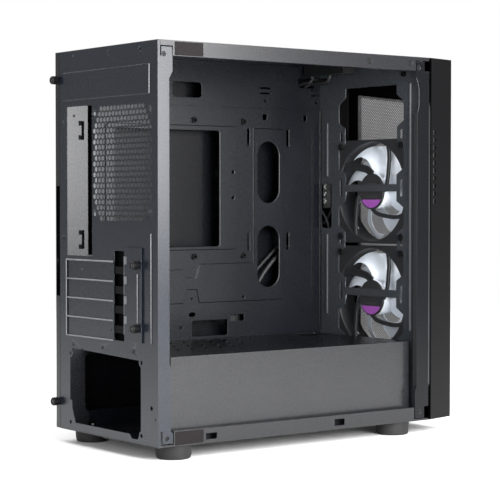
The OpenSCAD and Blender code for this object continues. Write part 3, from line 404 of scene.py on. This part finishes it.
def lathe_z(bm, c, profile, n=64):
    """profile: (radius, height) in millimetres over the point c, turned round Z."""
    rings = []
    for r, h in profile:
        rings.append([c + Vector((x, y, h)) * MM for x, y in circle_points(r, n)])
    loft(bm, rings)


def lathe_y(bm, c, profile, n=64, teeth=0, tooth=0.0):
    """profile: (radius, distance towards the rear) in millimetres, turned round Y; teeth ridge the widest
    rings."""
    rings = []
    widest = max(r for r, _ in profile)
    for r, d in profile:
        ring = []
        for k in range(n):
            a = math.tau * k / n
            cut = tooth if teeth and r > widest - 0.05 and (k * teeth * 2 // n) % 2 else 0.0
            ring.append(c + Vector(((r - cut) * math.cos(a), d, (r - cut) * math.sin(a))) * MM)
        rings.append(ring)
    loft(bm, rings)


def box_mesh(bm, lo, hi, turn=None, about=None):
    made = bmesh.ops.create_cube(bm, size=1.0)["verts"]
    mid = (lo + hi) / 2
    span = hi - lo
    for v in made:
        v.co = Vector((v.co.x * span.x, v.co.y * span.y, v.co.z * span.z)) + mid
    if turn:
        bmesh.ops.rotate(bm, verts=made, cent=about or mid, matrix=turn)
    return made


# ---- Fans ----

BLADES = 7
FAN_R = 57.4
FLANGE_T = 3.6
HUB_R = 20.85
STRUT_SET = 0.35


def square_ring(half, r, n):
    """n points on a rounded square, one for each direction."""
    ring = []
    for k in range(n):
        a = math.tau * (k + 0.5) / n
        c, s = math.cos(a), math.sin(a)
        d = half / max(abs(c), abs(s))
        x, z = d * c, d * s
        core = half - r
        if abs(x) > core and abs(z) > core:
            cx, cz = math.copysign(core, x), math.copysign(core, z)
            m = cx * c + cz * s
            d = m + math.sqrt(max(0.0, m * m - (cx * cx + cz * cz - r * r)))
            x, z = d * c, d * s
        ring.append((x, z))
    return ring


def fan_frame(which):
    node = "fan_%s_frame" % which
    lo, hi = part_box(node)
    back = hi.y
    depth = (hi.y - lo.y) / MM
    mid = Vector(((lo.x + hi.x) / 2, back, (lo.z + hi.z) / 2))
    half = (hi.x - lo.x) / MM / 2
    n = 144
    bm = bmesh.new()
    turn = math.pi / n

    def ring(points, d):
        return [mid + Vector((x, -d, z)) * MM for x, z in points]

    bore = circle_points(FAN_R, n, turn)
    mouth = circle_points(FAN_R + 0.9, n, turn)
    wall = circle_points(FAN_R + 1.6, n, turn)
    flange = square_ring(half, 5, n)
    inset = square_ring(half - 0.4, 4.6, n)
    rear_half = [(bore, 1.0), (mouth, 0), (inset, 0), (flange, 0.4), (flange, FLANGE_T - 0.4),
                 (inset, FLANGE_T), (wall, FLANGE_T)]
    front_half = [(points, depth - d) for points, d in reversed(rear_half)]
    rings = [ring(points, d) for points, d in rear_half + front_half]
    rows = loft(bm, rings, cap=False)
    for k in range(n):
        bm.faces.new((rows[-1][k], rows[-1][(k + 1) % n], rows[0][(k + 1) % n], rows[0][k]))
    # Motor cup
    cup = [(HUB_R - 2.4, -3), (HUB_R - 0.5, -3), (HUB_R, -2.6), (HUB_R, -0.9), (HUB_R - 0.5, -0.4),
           (HUB_R - 1.1, -0.4), (HUB_R - 1.1, -0.55), (0.5, -0.55)]
    lathe_y(bm, mid, cup, 96)
    # Swept struts set back from the rear face, the first one wider to carry the leads
    line = [Vector((0, 20)), Vector((8, 25.4)), Vector((20, 27.9)), Vector((36.6, 29.6)), Vector((47, 29)),
            Vector((51.5, 27.6))]
    for quarter in range(4):
        width = 8.4 if quarter == 0 else 4.6
        c, s = math.cos(-quarter * math.pi / 2), math.sin(-quarter * math.pi / 2)
        path = [Vector((p.x * c - p.y * s, p.x * s + p.y * c)) for p in line]
        section = []
        for i, p in enumerate(path):
            t = (path[min(i + 1, len(path) - 1)] - path[max(i - 1, 0)]).normalized()
            side = Vector((-t.y, t.x))
            w = width / 2
            shape = [(-w, 0.5), (-w + 0.5, 0.0), (w - 0.5, 0.0), (w, 0.5), (w, 2.6), (-w, 2.6)]
            if quarter == 0:
                shape = [(-w, 0.5), (-w + 0.5, 0.0), (-w + 1.4, 0.0), (-w + 1.8, 1.2), (w - 1.8, 1.2),
                         (w - 1.4, 0.0), (w - 0.5, 0.0), (w, 0.5), (w, 2.6), (-w, 2.6)]
            corners = [(p + side * u, d) for u, d in shape]
            section.append([mid + Vector((q.x, -STRUT_SET - d, q.y)) * MM for q, d in corners])
        loft(bm, section)
    bmesh.ops.recalc_face_normals(bm, faces=bm.faces)
    add_piece("fan_%s_housing" % which, bm, BODY_OF[node], SLOT_OF[node], stands_for=(node,), smooth=30)

    # Sticker, with a coloured segment at its foot
    label = "fan_%s_label" % which
    lo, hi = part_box(label)
    c = Vector(((lo.x + hi.x) / 2, hi.y, (lo.z + hi.z) / 2))
    r = (hi.x - lo.x) / MM / 2
    bm = bmesh.new()
    lathe_y(bm, c, [(r, -0.3), (r, -0.06), (r - 0.1, -0.03), (0.2, -0.03)], 96)
    bmesh.ops.recalc_face_normals(bm, faces=bm.faces)
    add_piece(label + "_film", bm, BODY_OF[label], SLOT_OF[label], stands_for=(label,))
    bm = bmesh.new()
    chord = -9.5
    inner = r - 0.6
    start = math.asin(chord / inner)
    steps = 32
    arc = []
    for k in range(steps + 1):
        a = start + (-math.pi - 2 * start) * k / steps
        arc.append((inner * math.cos(a), inner * math.sin(a)))
    loft(bm, [[c + Vector((x, y, z)) * MM for x, z in arc] for y in (-0.03, -0.005)])
    bmesh.ops.recalc_face_normals(bm, faces=bm.faces)
    add_piece(label + "_segment", bm, BODY_OF[label], SLOT_OF[label], PURPLE)
    # Pale rules printed across the film
    bm = bmesh.new()
    for z, w in ((9.2, 6.5), (7.6, 4.5), (-5.4, 10.5), (-6.8, 8.0)):
        box_mesh(bm, c + Vector((-w, -0.03, z - 0.16)) * MM, c + Vector((w, -0.012, z + 0.16)) * MM)
    add_piece(label + "_rules", bm, BODY_OF[label], SLOT_OF[label], INK)


def fan_rotor(which):
    node = "fan_%s_rotor" % which
    frame_lo, frame_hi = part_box("fan_%s_frame" % which)
    lo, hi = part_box(node)
    mid = Vector(((frame_lo.x + frame_hi.x) / 2, hi.y, (frame_lo.z + frame_hi.z) / 2))
    depth = (hi.y - lo.y) / MM
    hub = HUB_R - 0.45
    bm = bmesh.new()
    lathe_y(bm, mid, [(hub - 2.0, -1.5), (hub - 1.8, -0.2), (hub - 0.3, 0), (hub, -0.3), (hub, 1.4 - depth),
                      (hub - 0.6, 0.5 - depth), (hub - 1.8, -depth), (2.0, -depth)], 96)
    bmesh.ops.recalc_face_normals(bm, faces=bm.faces)
    add_piece("fan_%s_hub" % which, bm, BODY_OF[node], SLOT_OF[node], FAN_HUB, (node,), 30)
    bm = bmesh.new()
    radial, across = 14, 12
    tip = 55.4
    for b in range(BLADES):
        sheets = []
        for face in (1, -1):
            grid = []
            for i in range(radial + 1):
                u = i / radial
                r = hub - 0.4 + (tip - hub + 0.4) * u
                lead = math.radians(-34 * u ** 1.8)
                span = math.radians(47 - 9 * u + 13 * u ** 3)
                pitch = math.radians(50 - 19 * u)
                row = []
                for j in range(across + 1):
                    v = j / across - 0.5
                    fall = 1.0 - 0.16 * max(0.0, u - 0.8) * 5 * (1 if v > 0 else 0.4) * (2 * abs(v)) ** 2
                    a = math.tau * b / BLADES + lead + span * v * (0.94 if u > 0.9 else 1.0)
                    chord = 2 * r * math.sin(span / 2)
                    rise = math.tan(pitch) * chord * v
                    rise = max(-8.2, min(8.2, rise * 0.62)) + 1.6 * (1 - (2 * v) ** 2)
                    thick = 0.55 * (1 - 0.55 * (2 * v) ** 2)
                    rr = r * fall if u > 0.8 else r
                    row.append(mid + Vector((rr * math.cos(a), -depth / 2 - 0.4 - rise + face * thick,
                                             rr * math.sin(a))) * MM)
                grid.append([bm.verts.new(p) for p in row])
            sheets.append(grid)
        top, low = sheets
        for i in range(radial):
            for j in range(across):
                bm.faces.new((top[i][j], top[i][j + 1], top[i + 1][j + 1], top[i + 1][j]))
                bm.faces.new((low[i][j], low[i + 1][j], low[i + 1][j + 1], low[i][j + 1]))
        rim = [(0, j) for j in range(across + 1)] + [(i, across) for i in range(1, radial + 1)]
        rim += [(radial, j) for j in range(across - 1, -1, -1)] + [(i, 0) for i in range(radial - 1, 0, -1)]
        for (i, j), (k, m) in zip(rim, rim[1:] + rim[:1]):
            bm.faces.new((top[i][j], low[i][j], low[k][m], top[k][m]))
    bmesh.ops.recalc_face_normals(bm, faces=bm.faces)
    add_piece("fan_%s_blades" % which, bm, BODY_OF[node], SLOT_OF[node], smooth=40)


PURPLE = surface("printed_purple", (0.23, 0.06, 0.29), rough=0.4, mottle=0.05, mottle_size=10)
INK = surface("printed_ink", (0.06, 0.062, 0.066), rough=0.5, mottle=0.1, mottle_size=3)
FAN_HUB = surface("fan_hub", (0.8, 0.84, 0.9), rough=0.35, mottle=0.03, mottle_size=30)
for which in ("upper", "lower"):
    fan_frame(which)
    fan_rotor(which)

# ---- Crossing wires of the front mesh and the filter nets ----


def clip(p, d, outline):
    """The stretch of the line p + t d that lies inside a convex anticlockwise outline."""
    t0, t1 = -1e9, 1e9
    for (ax, ay), (bx, by) in zip(outline, outline[1:] + outline[:1]):
        nx, ny = -(by - ay), bx - ax
        here = (p[0] - ax) * nx + (p[1] - ay) * ny
        rate = d[0] * nx + d[1] * ny
        if abs(rate) < 1e-9:
            if here < 0:
                return None
        elif rate > 0:
            t0 = max(t0, -here / rate)
        else:
            t1 = min(t1, -here / rate)
    return (t0, t1) if t1 - t0 > 0.5 else None


def wires(bm, outline, pitch, width, slope, place, thick):
    """Two layers of flat wires at plus and minus slope degrees; place(u, v, depth) gives the row-frame
    point."""
    us = [p[0] for p in outline]
    vs = [p[1] for p in outline]
    mu, mv = (min(us) + max(us)) / 2, (min(vs) + max(vs)) / 2
    reach = math.hypot(max(us) - min(us), max(vs) - min(vs)) / 2
    for layer, sign in enumerate((1, -1)):
        a = math.radians(slope * sign)
        d = (math.cos(a), math.sin(a))
        n = (-d[1], d[0])
        count = int(reach / pitch)
        for k in range(-count, count + 1):
            p = (mu + n[0] * k * pitch, mv + n[1] * k * pitch)
            span = clip(p, d, outline)
            if not span:
                continue
            ends = []
            for t in span:
                c = (p[0] + d[0] * t, p[1] + d[1] * t)
                ring = []
                for w, h in ((-1, 0), (-0.5, 1), (0.5, 1), (1, 0)):
                    ring.append(place(c[0] + n[0] * w * width / 2, c[1] + n[1] * w * width / 2,
                                      (layer + h) * thick))
                ends.append(ring)
            loft(bm, ends)


# The inlet's upper edge slopes down towards the open side
lo, hi = design(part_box("front_mesh")[0]), design(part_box("front_mesh")[1])
LOW_CORNER_Z = 357.6
mesh_outline = [(lo.x, lo.z), (hi.x, lo.z), (hi.x, hi.z), (lo.x, LOW_CORNER_Z)]
mesh_y = lo.y
bm = bmesh.new()
wires(bm, mesh_outline, 2.4, 1.6, 45, lambda u, v, d: at(u, mesh_y + d, v), 0.45)
bmesh.ops.recalc_face_normals(bm, faces=bm.faces)
add_piece("front_mesh_wires", bm, BODY_OF["front_mesh"], SLOT_OF["front_mesh"], stands_for=("front_mesh",),
          smooth=0)

# Strips of the same mesh behind the front panel's side slots, on its leaning sides
SEAM_Y = -370.0
SIDE_X = 95.2
LEAN = 0.23
SIDE_SLOTS_Y = (SEAM_Y - 12, SEAM_Y - 2.6)
SIDE_SLOTS_Z = (238, 334)
for side, name in ((-1, "left"), (1, "right")):
    bm = bmesh.new()
    outline = [(SIDE_SLOTS_Y[0], SIDE_SLOTS_Z[0]), (SIDE_SLOTS_Y[1], SIDE_SLOTS_Z[0]),
               (SIDE_SLOTS_Y[1], SIDE_SLOTS_Z[1]), (SIDE_SLOTS_Y[0], SIDE_SLOTS_Z[1])]
    wires(bm, outline, 2.6, 1.5, 58,
          lambda u, v, d: at(side * (SIDE_X + (u - SEAM_Y) * LEAN - d), u, v), 0.35)
    bmesh.ops.recalc_face_normals(bm, faces=bm.faces)
    add_piece("front_side_mesh_" + name, bm, BODY_OF["front_panel"], SLOT_OF["front_mesh"], smooth=0)


def filter_net(node, rim, handle, z, way):
    """A moulded filter with crossing threads laid on its net; way is 1 for threads on top, -1 below."""
    frame_bm = from_node(node)
    soften(frame_bm, 0.2)
    add_piece(node + "_frame", frame_bm, BODY_OF[node], SLOT_OF[node], stands_for=(node,))
    lo, hi = design(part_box(node)[0]), design(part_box(node)[1])
    x0, x1, y0, y1 = lo.x + rim, hi.x - rim, lo.y + rim, hi.y - rim - handle
    net_bm = bmesh.new()
    wires(net_bm, [(x0, y0), (x1, y0), (x1, y1), (x0, y1)], 2.0, 0.7, 45,
          lambda u, v, d: at(u, v, z + way * d), 0.12)
    bmesh.ops.recalc_face_normals(net_bm, faces=net_bm.faces)
    add_piece(node + "_net", net_bm, BODY_OF[node], SLOT_OF[node], NET, smooth=0)


filter_net("top_filter", 8, 0, design(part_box("top_filter")[0]).z + 0.4, 1)
filter_net("psu_filter", 6, 6, design(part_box("psu_filter")[1]).z - 1.15, -1)

# ---- Cables: twisted leads swept along the CAD tubes' own centre lines ----


def centre_line(node):
    bm = from_node(node)
    caps = [f for f in bm.faces if len(f.verts) == 8]
    start = max(caps, key=lambda f: f.calc_center_median().z)
    layer = set(start.verts)
    seen = set(layer)
    line = []
    while layer:
        line.append(sum((v.co for v in layer), Vector()) / len(layer))
        layer = {e.other_vert(v) for v in layer for e in v.link_edges} - seen
        seen |= layer
    bm.free()
    return line


def spline(points, n):
    out = []
    for i in range(len(points) - 1):
        a, b = points[max(i - 1, 0)], points[i]
        c, d = points[i + 1], points[min(i + 2, len(points) - 1)]
        for k in range(n):
            u = k / n
            out.append(0.5 * (2 * b + (c - a) * u + (2 * a - 5 * b + 4 * c - d) * u * u
                              + (3 * b - a - 3 * c + d) * u * u * u))
    out.append(points[-1])
    return out


def twisted(node, strands, r, spread, lay_length, ribbed=False):
    line = spline(centre_line(node), 5)
    frames = []
    u = None
    for i, p in enumerate(line):
        t = (line[min(i + 1, len(line) - 1)] - line[max(i - 1, 0)]).normalized()
        if u is None:
            u = t.orthogonal().normalized()
        u = (u - t * u.dot(t)).normalized()
        frames.append((p, u.copy(), t.cross(u)))
    travelled = [0.0]
    for a, b in zip(line, line[1:]):
        travelled.append(travelled[-1] + (b - a).length)
    bm = bmesh.new()
    for k in range(strands):
        rings = []
        for (p, u, v), s in zip(frames, travelled):
            a = math.tau * (k / strands + s / (lay_length * MM))
            c = p + (u * math.cos(a) + v * math.sin(a)) * spread * MM
            swell = 1.0 + (0.12 * math.sin(s / MM * 2.4) if ribbed else 0.0)
            rings.append([c + (u * x + v * y) * MM * swell for x, y in circle_points(r, 8)])
        loft(bm, rings)
    bmesh.ops.recalc_face_normals(bm, faces=bm.faces)
    add_piece(node + "_leads", bm, BODY_OF[node], SLOT_OF[node], stands_for=(node,), smooth=50)


twisted("usb_cable", 1, 2.5, 0.0, 40, True)
twisted("switch_cable", 3, 0.95, 1.0, 22)
twisted("fan_upper_cable", 3, 0.75, 0.8, 16)
twisted("fan_lower_cable", 3, 0.75, 0.8, 16)

# ---- Thumbscrews and feet ----

HEAD_T = 8.0
for node in ("side_screw_upper", "side_screw_lower", "lock_screw_upper", "lock_screw_lower"):
    lo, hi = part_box(node)
    r = (hi.x - lo.x) / MM / 2
    base = Vector(((lo.x + hi.x) / 2, hi.y - HEAD_T * MM, (lo.z + hi.z) / 2))
    shank = (hi.y - lo.y) / MM - HEAD_T
    bm = bmesh.new()
    profile = [(1.4, -shank), (1.5, -shank + 0.4), (1.5, 0), (r - 0.9, 0.02), (r - 0.6, 0.3), (r - 0.6, 1.2),
               (r, 1.5), (r, 6.9), (r - 0.7, 7.6), (r - 1.1, HEAD_T), (2.7, HEAD_T), (2.5, 7.4), (0.3, 7.1)]
    lathe_y(bm, base, profile, 144, 18, 0.4)
    bmesh.ops.recalc_face_normals(bm, faces=bm.faces)
    add_piece(node + "_head", bm, BODY_OF[node], SLOT_OF[node], stands_for=(node,), smooth=20)
    # A cross in each head, in a lighter metal: a painted highlight
    bm = bmesh.new()
    for turn in (0.5, 0.5 + math.pi / 2):
        spot = base + Vector((0, 7.45, 0)) * MM
        box_mesh(bm, spot - Vector((1.9, 0.3, 0.42)) * MM, spot + Vector((1.9, 0.12, 0.42)) * MM,
                 Matrix.Rotation(turn, 3, "Y"), spot)
    add_piece(node + "_cross", bm, BODY_OF[node], SLOT_OF[node], CROSS_HIGHLIGHT)

for node in ("foot_front_left", "foot_front_right", "foot_rear_left", "foot_rear_right"):
    lo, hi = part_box(node)
    r = (hi.x - lo.x) / MM / 2
    base = Vector(((lo.x + hi.x) / 2, (lo.y + hi.y) / 2, lo.z))
    h = (hi.z - lo.z) / MM
    bm = bmesh.new()
    profile = [(2.2, h), (r - 0.3, h), (r, h - 0.4), (r - 0.05, h - 1.6), (r - 0.8, 3.4), (r - 1.3, 2.9),
               (r - 1.2, 2.4), (r - 1.5, 1.0), (r - 2.4, 0.2), (r - 3.4, 0), (6.0, 0), (5.2, 0.4), (4.6, 1.0),
               (4.6, h - 4), (2.2, h - 4)]
    lathe_z(bm, base, profile, 96)
    bmesh.ops.recalc_face_normals(bm, faces=bm.faces)
    add_piece(node + "_moulding", bm, BODY_OF[node], SLOT_OF[node], stands_for=(node,), smooth=35)

# ---- Floor and light ----

floor_bm = bmesh.new()
bmesh.ops.create_circle(floor_bm, cap_ends=True, segments=96, radius=2.2)
floor_me = bpy.data.meshes.new("floor")
floor_bm.to_mesh(floor_me)
floor_bm.free()
floor = bpy.data.objects.new("floor", floor_me)
bpy.context.scene.collection.objects.link(floor)
paper = surface("floor", (0.88, 0.88, 0.88), rough=0.7, specular=0.1, mottle=0.004, mottle_size=400)
floor_me.materials.append(paper)


def lamp(name, place, aim, width, height, power):
    """A soft box unseen by the camera; metres and watts."""
    data = bpy.data.lights.new(name, "AREA")
    data.shape = "RECTANGLE"
    data.size = width
    data.size_y = height
    data.energy = power
    o = bpy.data.objects.new(name, data)
    bpy.context.scene.collection.objects.link(o)
    o.location = place
    o.rotation_mode = "QUATERNION"
    o.rotation_quaternion = (Vector(aim) - Vector(place)).to_track_quat("-Z", "Y")
    o.visible_camera = False


lamp("key", (-1.15, -0.105, 0.78), (0, -0.105, 0.78), 0.97, 1.15, 49)
lamp("slope", (-1.2, 0.13, 0.28), (0, 0.13, 0.25), 0.6, 0.5, 14)
lamp("rear", (-1.35, 2.7, 0.74), (0, -0.1, 0.25), 1.9, 1.3, 52)
lamp("rim", (2.4, 0.2, 1.95), (0, 0, 0.2), 0.9, 0.9, 22)
lamp("fill", (1.8, -1.6, 1.1), (0, -0.1, 0.2), 1.4, 1.4, 9)
lamp("top", (0, 0.2, 2.4), (0, 0, 0), 2.6, 2.6, 55)

world = bpy.data.worlds.new("studio")
bpy.context.scene.world = world
world.use_nodes = True
world.node_tree.nodes.clear()
w_out = world.node_tree.nodes.new("ShaderNodeOutputWorld")
w_bg = world.node_tree.nodes.new("ShaderNodeBackground")
w_bg.inputs[0].default_value = (1, 1, 1, 1)
w_bg.inputs[1].default_value = 0.4
w_seen = world.node_tree.nodes.new("ShaderNodeBackground")
w_seen.inputs[0].default_value = (1, 1, 1, 1)
w_seen.inputs[1].default_value = 1.0
w_mix = world.node_tree.nodes.new("ShaderNodeMixShader")
w_path = world.node_tree.nodes.new("ShaderNodeLightPath")
link(world.node_tree, w_path.outputs["Is Camera Ray"], w_mix.inputs[0])
link(world.node_tree, w_bg.outputs[0], w_mix.inputs[1])
link(world.node_tree, w_seen.outputs[0], w_mix.inputs[2])
link(world.node_tree, w_mix.outputs[0], w_out.inputs[0])
bpy.context.scene.view_settings.view_transform = "Standard"
